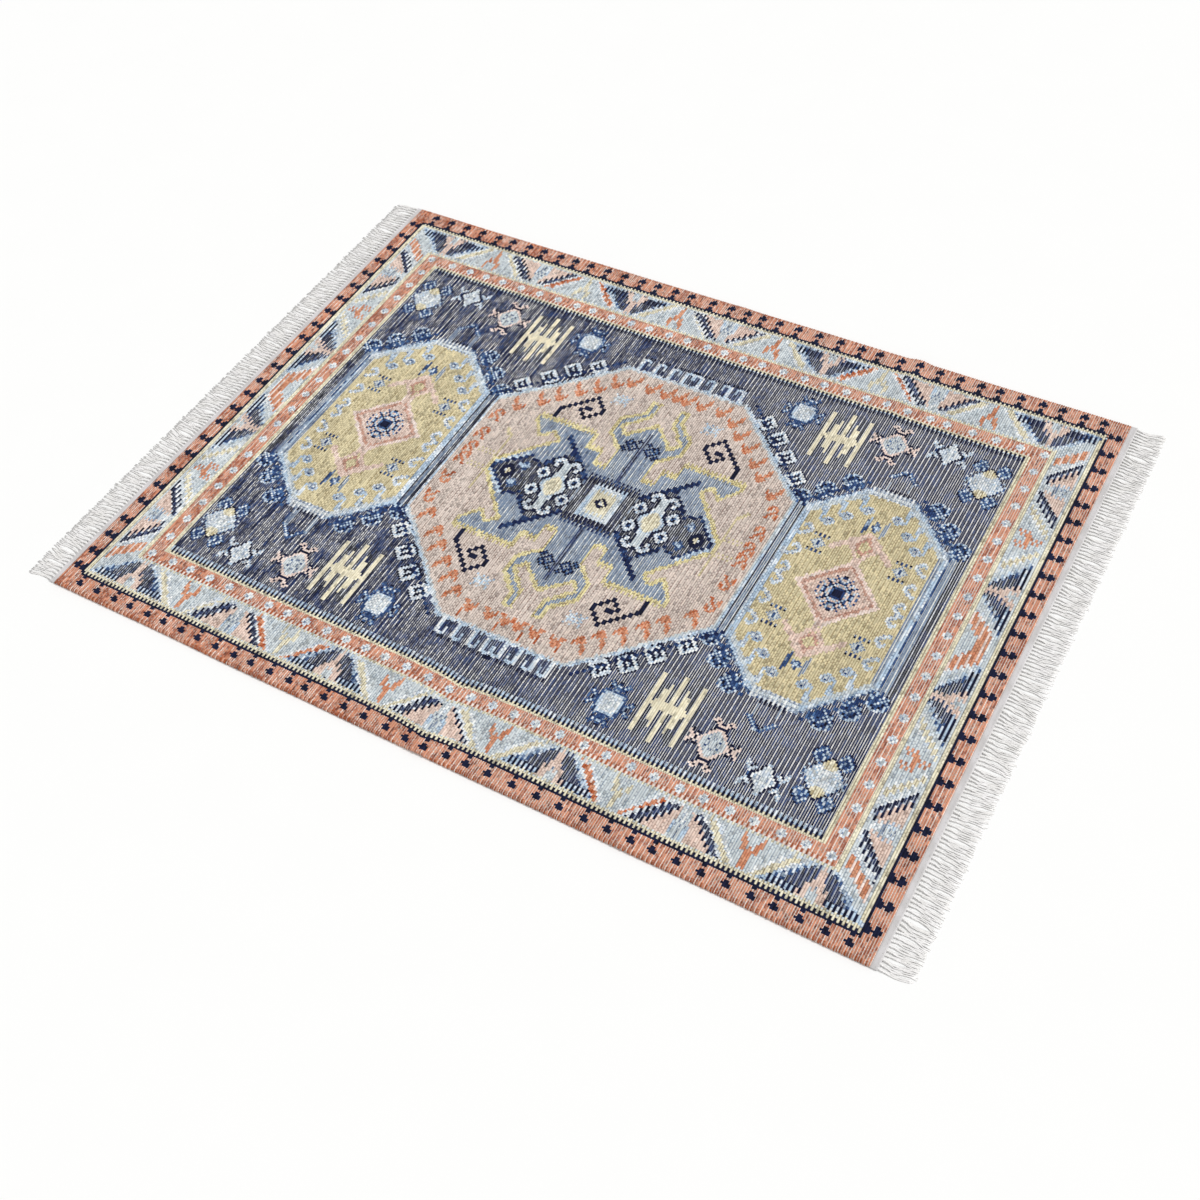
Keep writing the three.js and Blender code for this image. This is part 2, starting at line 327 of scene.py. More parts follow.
class Chart:
    """The weaver's chart: a column for each rib and a row for each millimetre across the rug.

    Figures are drawn in millimetres. Their edges follow one of three sets of rows: "tooth", where ribs beside
    each other step apart, "even", which runs straight, and "rough", where whole stitches fall unevenly. Those
    sets are shifted, so ribs as far as beside a figure and rows as far as beyond it are looked at too.
    """
    beside = 5
    beyond = 30

    def __init__(self, x, tooth, even, rough, yarn):
        self.x = x
        self.rows = {"tooth": tooth, "even": even, "rough": rough}
        self.cells = np.full(even.shape, NUMBER[yarn], np.uint8)
        self.places = ((0, 0, 1, 1),)

    def at(self, x=0, y=0, flips=ONCE):
        """The figures that follow are drawn at this point and, turned over, at its mirror images."""
        self.places = tuple((x * fx, y * fy, fx, fy) for fx, fy in flips)
        return self

    def turned(self, x, y, flips):
        """The figures that follow are drawn at this point, once for each way of turning them over."""
        self.places = tuple((x, y, fx, fy) for fx, fy in flips)
        return self

    def paint(self, inside, reach, yarn, way="tooth", every=1):
        """Gives the yarn to the cells inside, in every rib or in each second or third one."""
        x0, y0, x1, y1 = reach
        for cx, cy, fx, fy in self.places:
            left, right = sorted((cx + fx * x0, cx + fx * x1))
            near, far = sorted((cy + fy * y0, cy + fy * y1))
            a, b = np.searchsorted(self.x, (left - self.beside, right + self.beside))
            low = max(0, int(near) + HALF_WIDTH - self.beyond)
            high = min(ROWS, int(far) + HALF_WIDTH + self.beyond)
            if a < b and low < high:
                x = (self.x[a:b, None] - cx) * fx
                y = (self.rows[way][a:b, low:high] - cy) * fy
                hit = inside(x, y) & (np.arange(a, b) % every == 0)[:, None]
                self.cells[a:b, low:high][hit] = NUMBER[yarn]
        return self

    def box(self, x0, y0, x1, y1, yarn, every=1, way="tooth"):
        """A box from corner to corner."""
        def inside(x, y):
            return (x >= x0) & (x <= x1) & (y >= y0) & (y <= y1)
        return self.paint(inside, (x0, y0, x1, y1), yarn, way, every)

    def block(self, half, y0, y1, yarn, every=1):
        """A box across the figure's middle."""
        return self.box(-half, y0, half, y1, yarn, every)

    def band(self, half, y0, y1, yarn, every=1):
        """A box across the figure's middle, with straight edges."""
        return self.box(-half, y0, half, y1, yarn, every, "even")

    def posts(self, x0, y0, x1, y1, yarn):
        """A box and its mirror image."""
        return self.box(-x1, y0, -x0, y1, yarn).box(x0, y0, x1, y1, yarn)

    def area(self, points, yarn, every=1):
        """A filled figure with straight sides."""
        def inside(x, y):
            odd = np.zeros(np.broadcast(x, y).shape, bool)
            for (ax, ay), (bx, by) in zip(points, points[1:] + points[:1]):
                if ay != by:
                    odd ^= ((ay > y) != (by > y)) & (x < (bx - ax) * (y - ay) / (by - ay) + ax)
            return odd
        return self.paint(inside, reach_of(points), yarn, "rough", every)

    def wings(self, points, yarn, every=1):
        """A filled figure and its mirror image."""
        return self.area([(-x, y) for x, y in points], yarn, every).area(points, yarn, every)

    def diamond(self, half_x, half_y, yarn, x=0, y=0):
        """A diamond round the point."""
        def inside(px, py):
            return np.abs(px - x) / half_x + np.abs(py - y) / half_y <= 1
        return self.paint(inside, (x - half_x, y - half_y, x + half_x, y + half_y), yarn, "rough")

    def line(self, points, width, yarn):
        """A line of even width through the points, at least one rib wide."""
        half = max(width / 2, 2.2)

        def inside(x, y):
            return near_line(x, y, points, half)
        return self.paint(inside, reach_of(points, half), yarn, "rough")

    def beads(self, points, yarn, half=2.6):
        """A line of separate knots, each two ribs wide."""
        def inside(x, y):
            middle_x = (np.floor(x / BEAD) + 0.5) * BEAD
            middle_y = (np.floor(y / BEAD) + 0.5) * BEAD
            return near_line(middle_x, middle_y, points, half) & (np.abs(y - middle_y) < 3.5)
        return self.paint(inside, reach_of(points, 9), yarn, "even")

    def ribs(self, first, last, y0, y1, yarn, x=0):
        """Some ribs' stretch from y0 to y1. Rib 0 is the first on the right of the figure's middle."""
        even = self.rows["even"]
        for cx, cy, fx, fy in self.places:
            middle = int(math.ceil(np.interp(cx + fx * x, self.x, np.arange(len(self.x)))))
            low, high = sorted((cy + fy * y0, cy + fy * y1))
            for k in range(first, last + 1):
                i = middle + k if fx > 0 else middle - 1 - k
                self.cells[i][(even[i] >= low) & (even[i] < high)] = NUMBER[yarn]
        return self

    def teeth(self, stretches, yarn):
        """Ribs on both sides of the figure's middle, each as its first and last rib and half its length."""
        for first, last, half in stretches:
            self.ribs(first, last, -half, half, yarn).ribs(-1 - last, -1 - first, -half, half, yarn)
        return self

    def knot(self, rows, x=0, y=0, size=1):
        """A small charted figure, with its middle at the point. In size 2 its cells are beads."""
        wide, tall = size * len(rows[0]), size * len(rows)
        for k in range(len(rows[0])):
            first = size * k - wide // 2
            for r, row in enumerate(rows):
                if row[k] != ".":
                    top = y + ROW * (tall / 2 - size * r) + (size - 1)
                    low = top - ROW * size - (size - 1) * 2.5
                    self.ribs(first, first + size - 1, low, top, LETTERS[row[k]], x)
        return self


class EndChart(Chart):
    """A part of the chart seen from a short end, whose own x and y are given for each cell."""

    def __init__(self, x, y, cells):
        self.x = x
        self.y = y
        self.cells = cells.copy()

    def paint(self, inside, reach, yarn, way="tooth", every=1):
        """Gives the yarn to the cells inside, whatever their way and reach."""
        hit = inside(self.x, self.y) & (np.arange(len(self.cells)) % every == 0)[:, None]
        self.cells[hit] = NUMBER[yarn]
        return self


def charted(text):
    """The rows of a small figure, one letter for each rib and stitch, read from the top."""
    return text.split()


def whole(quarter):
    """A figure from its upper right quarter."""
    half = [row[::-1] + row for row in quarter]
    return half[::-1] + half


# Small repeats of the design
EDGE_STAR = charted("""
    .NN.
    NNNN
    NNNN
    N.N.
""")
LOW_STAR = charted("""
    .NNN
    NNNN
    .NN.
""")
EDGE_FOOT = charted("""
    ..NN..
    ..NN..
    .NNNN.
""")
EDGE_PAIR = charted("""
    .NN..N.
    NNN.NNN
    NNNNNN.
    .NN.NNN
""")
DOT = charted("""
    .WW.
    WWIW
    WSWW
    .WW.
""")
RING = charted("""
    ...NWWN...
    ..NWWLWN..
    .NWWLNWWN.
    NWLWNNLWWN
    WWLNNWNLWW
    WLNNWLNNWW
    LWWNNNNWLN
    NLWWNNWWN.
    .NLWWWLN..
    ..NNLWN...
    ....NN....
""")
BLUE_RING = charted("""
    ..LQLL...
    .QLNDLQL.
    LDNDQNDLD
    QLDLQDNLQ
    LDQDLQNDL
    QLNQDLDLD
    LLQDLDLQN
    .DLQDLQL.
    ..LDLDND.
    ...LDQ...
""")
HOOK = charted("""
    ......t
    .....tt
    .....tT
    t...tTt
    T.t.tt.
    TttTt..
    .Ttttt.
    .tTtt..
    ..tT...
""")
SIDE_HOOK = charted("""
    .tTt..
    tT.tt.
    TT..T.
    t..tT.
    ..Tt.t
    .tT.tT
    .T..tT
    TT...t
""")
PALE_STAR = charted("""
    L..L.L..L
    .LI.I.LL.
    .LLLILL..
    LII.L.IL.
    .LLLLIL..
    .L..I..L.
    L..L...I.
""")
HORN_RING = charted("""
    .N.......
    NDN..N...
    .NSNNDN..
    ..NDNSDN.
    .NDSDNDN.
    NDSNSDN..
    .NDSDN.N.
    ..NDN.NDN
    ...N.NDN.
    ......N..
""")
CREAM_STAR = charted("""
    ..NNN..
    .NNCNN.
    NNCCWNN
    NWCYCCN
    NNCCWNN
    .NNCNN.
    ..NNN..
""")
SQUARE_STAR = charted("""
    ..NN..
    .NCNN.
    NNWCNN
    NNCWCN
    .NNNN.
    ..NN..
""")
CURL = charted("""
    ..WW..
    .WLLW.
    WLS.L.
    WS....
    WLS...
    .WWL..
    ..SWWL
    ....LS
""")
BLOCKS = charted("""
    .....LLL
    .....LIL
    .....LLS
    .....LL.
    .....LL.
    .LLL..L.
    LSDSL.L.
    LSISLLL.
    .LSSLS..
    ..LL....
""")
BUTTERFLY = charted("""
    N.D.D.N
    S.D.D.S
    ...S...
    ..SIS..
    .SIDIS.
    SIIDIIS
    .SIDIS.
    ..SIS..
    ...S...
    N.D.D.N
    S.D.D.S
""")
SPIRAL = charted("""
    ...N......
    ..N.N.....
    .N...N....
    N.....N...
    N..NN..N..
    .N...N..N.
    ..N.N....N
    ...N......
""")
ARCH_TOP = charted("""
    ......DD......
    .....LLDD.....
    ....DQDNLD....
    ...QLDN.NQD...
    ..DLD....DLD..
    .QLD......DQD.
    DLQ........DLQ
""")

# The upper right quarters of figures with four like quarters, read from the middle upwards
FIELD_STAR = charted("""
    WIWIWLWLD
    IWWLWIL.L
    WWIWLWD..
    WIWLWL.L.
    CCWWLN...
    CCCLD....
    CYCN.LD..
    CYNLDQLD.
    CNDLQDDLD
    N.DDLDQLN
    ..LQDDLDN
    ..DLDLDN.
    ...DLQD..
    ....DN...
""")
SMALL_STAR = charted("""
    ISWLWND..
    WIWWNNL..
    WLWN.LWL.
    WWN.LWNWL
    IWN..N.LW
    WN......L
    L........
""")
PINK_STAR = charted("""
    ISIIIRRNRR.
    IIDIIR.RNRR
    SIIIR.NN.NR
    IISR.....N.
    IIRR.......
    IRRN.......
    RRN........
    NNN........
    RRN........
    NRRN.......
    .RNRR......
    ..RR.......
""")
BLUE_STAR = charted("""
    IWIWLDQN.D
    WIWWLQDLD.
    IWIWLD.DLD
    WIWLDQ..DN
    LLLLQD....
    DQDQD.....
    QD.D......
    DQDN......
    LDLD......
    D.DQD.....
    N..D......
""")
DIAMOND_STAR = charted("""
    CCCCIL......
    CCCCILN.....
    CCCILNNWLN..
    CCCLNNWLWWN.
    CCINNLWNNLW.
    CILN.WLDNWWN
    ILWNNWWNDLWN
    IIWN.NWWLWN.
    IIN...NWLN..
    IIN....NN...
    IIN.NN......
    IIN.WLN.....
    IINNWWN.....
    IIN.NLWN....
    WILNLWWN....
    NWWWWLN.....
    NNWLWN......
    ..NNN.......
""")
MEDALLION_STAR = charted("""
    NNDL.DL.D
    NND.LND..
    DDNLD.L.D
    L.LND..L.
    .LD.ND...
    DN.L.LD..
    LD.DL....
    .LD......
    DL.D.....
    N........
""")


def outer_border(c):
    """Terracotta border with its navy stars, and the navy and cream lines inside it."""
    c.at().band(HALF_LENGTH, -600, -585, "rust", 2).band(HALF_LENGTH, 594, 600, "rust", 2)
    c.band(763, -556, 560.6, "navy")
    c.at(flips=SIDES).box(762, -556, 766, 556, "navy")
    c.at().band(762, -552.5, 557, "cream")
    for x in TOP_STARS:
        c.at(x, 584).knot(EDGE_STAR).knot(EDGE_FOOT, 0, -17)
    for x in BOTTOM_STARS:
        c.turned(x, -571.5, OVER).knot(LOW_STAR).knot(("NN",), 0, -12.5)
    for side, rows in ((-1, LEFT_PAIRS), (1, RIGHT_PAIRS)):
        for y in rows:
            c.turned(side * 780, y, ((-side, 1),)).knot(EDGE_PAIR)


def navy_figure(c):
    """A navy figure of the main border, with its pink post."""
    slope = [(-56, 60), (-38, 28), (-11, 0), (11, 0), (38, 28), (56, 60)]
    c.area([(-90, 62), (-17, -2), (17, -2), (90, 62)], "light")
    c.area([(-84, 60), (-14, 0), (14, 0), (84, 60)], "speckle", 2)
    c.area([(-68, 60), (-12, 0), (12, 0), (68, 60)], "speckle").area(slope, "ink").area(slope, "stripe", 2)
    c.block(74, 53, 62, "light").block(74, 44, 61, "navy", 2)
    c.block(19, 38, 62, "pink").block(25, 54, 62, "pink").block(13, 30, 42, "pink").block(6.2, 0, 32, "pink")
    c.block(8, 42, 62, "ice").block(2, 38, 44, "denim")


def slanting_bands(c, yarn):
    """Two slanting bands of the main border, with ice-blue corners under them."""
    c.wings([(10, 62), (31, 62), (93, 0), (62, 0)], "white").wings(SLANT, yarn)
    return c.wings([(17, 42), (54, 0), (17, 0)], "ice")


def tree(c, yarn):
    """The small tree between the slanting bands."""
    c.block(4.2, 32, 60, yarn).block(9, 24, 33, yarn).posts(10, 3, 17, 22, yarn).posts(5, 17, 13, 28, yarn)


def cream_figure(c):
    """Cream bands of the main border with a salmon tree."""
    tree(slanting_bands(c, "cream"), "salmon")


def striped_figure(c):
    """Salmon bands of the main border, with pale ribs and terracotta beads, and a cream tree."""
    slanting_bands(c, "salmon").wings(SLANT, "rosy", 3)
    for side in (-1, 1):
        c.beads([(side * 20, 60), (side * 76, 4)], "terra", 2.2)
    tree(c, "cream")


def plain_figure(c):
    """Cream bands on the short ends, with a plainer tree."""
    slanting_bands(c, "cream")
    c.block(4, 34, 58, "salmon").posts(10, 4, 18, 30, "salmon").block(18, 24, 32, "salmon")


def pink_figure(c):
    """Two pink and navy slopes of the main border, with their ice-blue post."""
    c.wings([(58, 62), (92, 62), (32, 0), (8, 0)], "white")
    c.wings([(14, 62), (66, 62), (30, 26), (8, 4)], "pink")
    c.wings([(57, 62), (87, 62), (31, 2), (10, 2), (10, 10)], "navy", 2)
    c.wings([(66, 60), (77, 60), (24, 5), (15, 5)], "ink")
    c.area([(-15, 62), (-15, 36), (-8, 20), (-8, 0), (8, 0), (8, 20), (15, 36), (15, 62)], "ice")
    c.posts(8, 36, 15, 58, "light").block(4, 6, 26, "white")
    c.block(12, 30, 36, "denim").block(3, 42, 56, "denim")


def arch_figure(c):
    """The salmon arch in the middle of each short end."""
    c.area([(-80, 0), (-34, 58), (32, 58), (80, 0), (42, 0), (15, 28), (-15, 28), (-42, 0)], "white")
    c.area([(-69, 0), (-31, 53), (30, 53), (69, 0), (40, 0), (14, 29), (-14, 29), (-40, 0)], "salmon")
    c.area([(-67, 0), (-30, 50), (29, 50), (67, 0), (42, 0), (16, 32), (-16, 32), (-42, 0)], "rosy", 3)
    c.area([(-40, 0), (-12, 27), (12, 27), (40, 0)], "ice")


def border_figure(c, name):
    """One figure of the main border, drawn from 0 at its inner side to FIGURE_HEIGHT at its outer side."""
    draw = {"navy": navy_figure, "cream": cream_figure, "striped": striped_figure, "pink": pink_figure,
            "plain": plain_figure, "arch": arch_figure}[name]
    draw(c)


def end_figure(c, side, y, flip, name):
    """A border figure turned to stand on one of the short ends."""
    rows = slice(max(0, y + HALF_WIDTH - END_REACH), y + HALF_WIDTH + END_REACH)
    near = np.abs(c.x * side - END_FOOT - END_HEIGHT / 2) < END_HEIGHT / 2
    across = (c.rows["tooth"][near, rows] - y) * flip
    outwards = (c.x[near] * side - END_FOOT)[:, None] * FIGURE_HEIGHT / END_HEIGHT
    part = EndChart(across, np.broadcast_to(outwards, across.shape), c.cells[near, rows])
    border_figure(part, name)
    c.cells[near, rows] = part.cells


def main_border(c):
    """The pale border with its row of figures."""
    c.at().band(756, -542, 548, "ice")
    for x, name in zip(TOP_FIGURES, FIGURE_ORDER):
        border_figure(c.at(x, 484), name)
    for x, name in zip(BOTTOM_FIGURES, FIGURE_ORDER):
        border_figure(c.turned(x, -480, OVER), name)
    for side in (1, -1):
        for y, name in END_FIGURES:
            end_figure(c, side, y, 1, name)
            if y:
                end_figure(c, side, -y, -1, name)
    corner = [(750, 506), (750, 480), (700, 440), (700, 462)]
    c.at(flips=FOUR).area(corner, "salmon").area(corner, "rosy", 3)
    c.area([(750, 474), (750, 466), (700, 426), (700, 436)], "white")
    c.at().band(757, -552.5, -542, "cream").band(757, 548, 557, "cream")
    c.band(762, -552.5, -547, "navy", 2).band(762, 553, 557, "navy", 2)
    c.band(757, -544, -541, "ice", 2).band(757, 547, 550, "ice", 2)
    c.block(699, -484, 484, "ice").band(697, -480, 480.5, "cream")
    c.band(697, 477.5, 481, "ice", 2).band(697, -481, -477.5, "ice", 2)
    c.band(688, -474, 473.5, "peach")
    c.band(684, -475, -468, "rosy").band(661, 446, 452, "rosy")
    c.band(684, -475, -466, "rust", 2).band(661, 446, 454, "rust", 2)


def guard_band(c):
    """The narrow terracotta band with its white dots, and the toothed cream line round the field."""
    for row, y in ((TOP_DOTS, 460.5), (BOTTOM_DOTS, -460)):
        for x in row:
            c.at(x, y).knot(DOT)
    for i in range(-9, 10):
        c.at(-674.5, 46.1 * i).knot(DOT)
        c.at(678.5, 46.1 * i - 2).knot(DOT)
    c.at().band(661, -447, 446, "cream").band(652.5, -438, 438, "light").band(652.5, -443, 442.5, "navy", 2)
    c.block(652.5, -431, 431, "stripe").block(652.5, -428, 428, "field")


def eight(side, corner_y, corner_x, top):
    """The corners of a long eight-sided medallion."""
    return [(side, corner_y), (corner_x, top), (-corner_x, top), (-side, corner_y),
            (-side, -corner_y), (-corner_x, -top), (corner_x, -top), (side, -corner_y)]


def middle_medallion(c):
    """The middle medallion's rings and toothed outlines, its blush ground and its terracotta hooks."""
    c.at(flips=SIDES)
    c.box(318, -160, 352, 160, "stripe").box(340, -164, 352, 164, "light").box(328, -162, 338, 162, "denim")
    for x, y in ((186, 318), (224, 290), (257, 252), (296, 211)):
        c.at(x, y, FOUR).beads([(-22, -2), (2, -26)], "navy").knot(RING)
    c.at(flips=FOUR)
    for x in (16.5, 46, 77.5, 109.5):
        for first, last, y0, y1, yarn in MEDALLION_TEETH:
            c.ribs(first, last, y0, y1, yarn, x)
    c.beads([(334, 162), (141, 355)], "knots")
    c.at().area(eight(322, 161, 130, 347), "light").area(eight(318, 159, 127.5, 343), "ice")
    c.area(eight(314, 156, 125, 339), "blush")
    for x, y in ((-9, 311), (15, 311), (47, 311), (88, 312)):
        c.at(x, y).knot(HOOK, 3)
        c.at(-x - 18, y).knot(HOOK, 3)
    for x, y in ((127, 296), (152, 270), (181, 247), (209, 219), (235, 193), (271, 161)):
        c.at(x, y, SIDES).knot(HOOK)
        c.at(x, y - 3, ((1, -1), (-1, -1))).knot(HOOK)
    for x in (17, 50, 90):
        c.at(x, -306, SIDES).knot(HOOK[3:], -3).box(6, -25, 10, -4, "terra")
    for y, flips in ((118, FOUR), (64, FOUR), (23, SIDES), (-8, SIDES)):
        c.at(295, y, flips).knot(SIDE_HOOK)
    for x, y in ((94, 257), (-98, 255), (-98, -250), (92, -250)):
        c.at(x, y).knot(PALE_STAR)
    c.at(flips=SIDES).box(238, -75, 242, 80, "yellow").box(242, 24, 278, 29, "yellow")
    c.box(242, -16, 278, -11, "yellow").line([(242, 80), (256, 96), (246, 84)], 5, "yellow")


def ram_figure(c):
    """The denim figure in the middle, its horns, the two navy diamonds and the small square."""
    outline = [(0, 224), (48, 178), (63, 196), (25, 238), (22, 276), (38, 276), (38, 247), (75, 211),
               (75, 172), (39.5, 138), (39.5, 88), (64, 88), (64, 120), (94.5, 120), (94.5, 155), (219, 155),
               (219, 141), (190, 104), (171, 126), (152, 109), (236, 15), (236, 0)]
    c.at(flips=FOUR).area([(0, 0)] + outline, "denim").line(outline, 6.2, "butter")
    c.box(64, 117, 94.5, 126, "butter").box(94.5, 152, 219, 161, "butter").box(39.5, 84, 64, 92, "butter")
    c.ribs(-1, 0, 60, 198, "ink").knot(HORN_RING, 20, 157)
    c.area([(56, 0), (58, 52), (104, 96), (150, 46), (168, 42), (168, 0)], "stripe")
    c.area([(150, 0), (150, 36), (178, 52), (230, 6), (230, 0)], "stripe")
    c.beads([(140, 130), (58, 48)], "knots", 4.4).beads([(104, 94), (150, 44)], "knots", 2.8)
    c.beads([(150, 38), (164, 44), (180, 54), (230, 4)], "knots", 4.2)
    c.beads([(186, 58), (232, 12)], "light", 2.2)
    c.diamond(13, 13, "speckle", 176, 24).diamond(7, 7, "light", 177, 24).knot(CREAM_STAR, 197, 3)
    c.at(flips=SIDES).knot(whole(DIAMOND_STAR), 104.4, 2)
    c.at().block(54, -60, 60, "stripe").block(54, 54, 61, "knots").block(54, -61, -54, "knots")
    c.block(33, -44, 44, "ice").block(33, 34, 44, "light").block(33, -44, -34, "light")
    c.band(50, 40, 51, "navy", 2).band(50, -51, -40, "navy", 2)
    c.posts(27, -34, 33, 34, "light").block(21, -25, 29, "cream").knot(SQUARE_STAR, 1, 2.5)


def spirals(c):
    """The four navy spirals in the middle medallion's corners."""
    for x, side in ((189, 1), (-192, -1)):
        c.turned(x, 0, ((side, 1), (side, -1))).band(4, 160, 192, "navy").knot(SPIRAL, -41, 212, 2)


def side_medallion(c, x):
    """A side medallion's rings, outlines and toothed ends round its straw-coloured ground."""
    side, denim_end = (1, 158) if x > 0 else (-1, 152)
    c.turned(x, 0, FOUR)
    for px, py in ((82, 249), (119, 212), (153, 176)):
        c.beads([(px - 20, py - 4), (px + 2, py - 26)], "deep").knot(BLUE_RING, px, py)
    c.turned(x, 0, ((side, 1),)).box(147, -158, denim_end, 158, "denim").box(158, -160, 171, 160, "stripe")
    c.turned(x, 0, FOUR).beads([(154, 160), (50, 264)], "deep")
    c.turned(x, 0, HALVES)
    c.area(eight(147, 156, 43, 256), "speckle").area(eight(143, 155, 41, 253), "light")
    c.area(eight(135, 152, 39, 246), "ice").area(eight(128, 146, 38, 236), "yellow")
    c.turned(x, 0, FOUR).box(128, 0, 136, 146, "denim")
    c.turned(x, 0, HALVES)
    for k in range(-10, 10, 2):
        c.ribs(k, k, 236, 258, "white").ribs(k + 1, k + 1, 237, 241, "denim")
        c.ribs(k + 1, k + 1, 241, 247, "ice").ribs(k + 1, k + 1, 247, 253, "denim")
    for k in range(-5, 7, 2):
        c.ribs(k, k, 255, 264, "navy")
    medallion_filling(c, x)


def medallion_filling(c, x):
    """The side medallion's pink bars, small diamonds, blue blocks, butterflies, hooks and star."""
    c.turned(x, 0, FOUR).area([(0, 0), (76, 0), (8, 68), (8, 80), (0, 80)], "pink")
    c.line([(76, 0), (8, 68), (8, 80)], 4.4, "rosy").line([(66, 0), (4, 62)], 4.4, "pinkline")
    c.line([(0, 148), (55, 94)], 8, "pink").line([(0, 144), (24, 115), (3, 84)], 7, "pink")
    c.turned(x, 0, HALVES).diamond(9, 16, "yellow", 0, 116)
    c.line([(0, 136), (15, 116), (0, 96), (-15, 116), (0, 136)], 4.4, "pinkline")
    c.box(-21, 148, -13, 184, "speckle").box(13, 148, 21, 184, "denim")
    c.diamond(11, 14, "speckle", 0, 167).diamond(5, 6, "light", 0, 167)
    c.turned(x, 0, FOUR).knot(BLOCKS, 34, 208).knot(BLOCKS, 62, 180).knot(BLOCKS, 89, 154)
    c.knot(BUTTERFLY, 76, 90).knot(CURL, 109, 111).knot(CURL, 109, 59).knot(CURL, 109, 13)
    c.at(x).knot(whole(MEDALLION_STAR))


def arches(c):
    """The blue arches above and below the left medallion, and the smaller ones at the right medallion."""
    c.at(-475, 0, HALVES).posts(19, 256, 30, 300, "denim").knot(ARCH_TOP, 0, 310)
    c.at(475, 0, HALVES).posts(17, 262, 22, 284, "denim").knot(ARCH_TOP[1:], 0, 303)


def field_figures(c):
    """Stars, diamonds and combs on the navy field round the medallions."""
    for x, y, star in ((611, 347, FIELD_STAR), (527, 390, SMALL_STAR), (424.5, 368, PINK_STAR),
                       (233, 374, BLUE_STAR)):
        c.at(x, y, FOUR).knot(whole(star))
    c.at(327.8, 340, FOUR).teeth(((0, 1, 72), (3, 4, 54), (5, 7, 64), (10, 10, 66)), "stripe")
    c.ribs(-7, 6, -9, 9, "comb").ribs(-9, 8, -3.5, 4, "comb")
    c.teeth(((0, 0, 69), (3, 3, 46), (4, 5, 33), (8, 9, 62)), "comb")


def weave_chart(x, y, tooth):
    """Draws the whole design and returns its cells. The near borders sag, most of all in the middle."""
    rib = np.arange(len(x))[:, None]
    step = 0.5 * (rib % 2)
    outer = np.clip((-y - 360) / 70, 0, 1)
    sag = 3.5 + np.clip(-y - 440, 0, None) * 0.034 + 9 * np.exp(-np.abs(x[:, None]) / 36)
    even = y + outer * sag
    stitch = np.floor(even / ROW + step)
    uneven = np.modf(np.abs(np.sin(rib * 12.99 + stitch * 78.23)) * 437.58)[0] - 0.5
    rough = (stitch + 0.5 - step) * ROW + 5.0 * uneven
    c = Chart(x, even + np.where(rib % 2, -tooth, tooth), even, rough, "peach")
    for draw in (outer_border, main_border, guard_band):
        draw(c)
    shifted = np.where(x > FIELD_MIDDLE, (x - FIELD_MIDDLE) / (1 - FIELD_MIDDLE / FIELD_END),
                       (x - FIELD_MIDDLE) / (1 + FIELD_MIDDLE / FIELD_END))
    c.x = np.where(np.abs(x) > FIELD_END, x, shifted)
    side_medallion(c, 475)
    side_medallion(c, -478)
    for draw in (arches, middle_medallion, ram_figure, spirals, field_figures):
        draw(c)
    return c.cells


def runs(column, shortest=3):
    """Row numbers at which a column changes yarn, and the yarn of each run, without very short runs."""
    marks = [0] + [int(i) + 1 for i in np.flatnonzero(np.diff(column))] + [len(column)]
    kept = [0]
    for a, b in zip(marks, marks[1:]):
        if b - a >= shortest and a - kept[-1] >= shortest:
            kept.append(a)
    yarns = []
    for a, b in zip(kept, kept[1:] + [len(column)]):
        values, counts = np.unique(column[a:b], return_counts=True)
        yarns.append(int(values[np.argmax(counts)]))
    return kept, yarns


def stations(column, outermost):
    """The rows where a rib's crest has points, and the yarn of each stretch between them."""
    starts, yarns = runs(column)
    marks = set(starts) | {ROWS}
    for row in STATIONS:
        if outermost or row in (STATIONS[0], STATIONS[-1]) or min(abs(row - m) for m in marks) > STATION_GAP:
            marks.add(row)
    marks = sorted(marks)
    return marks, [yarns[int(np.searchsorted(starts, m, side="right")) - 1] for m in marks[:-1]]


def between(furrow, low, high):
    """A furrow's points from one row to another."""
    return [point for row, point in furrow.items() if low <= row <= high]


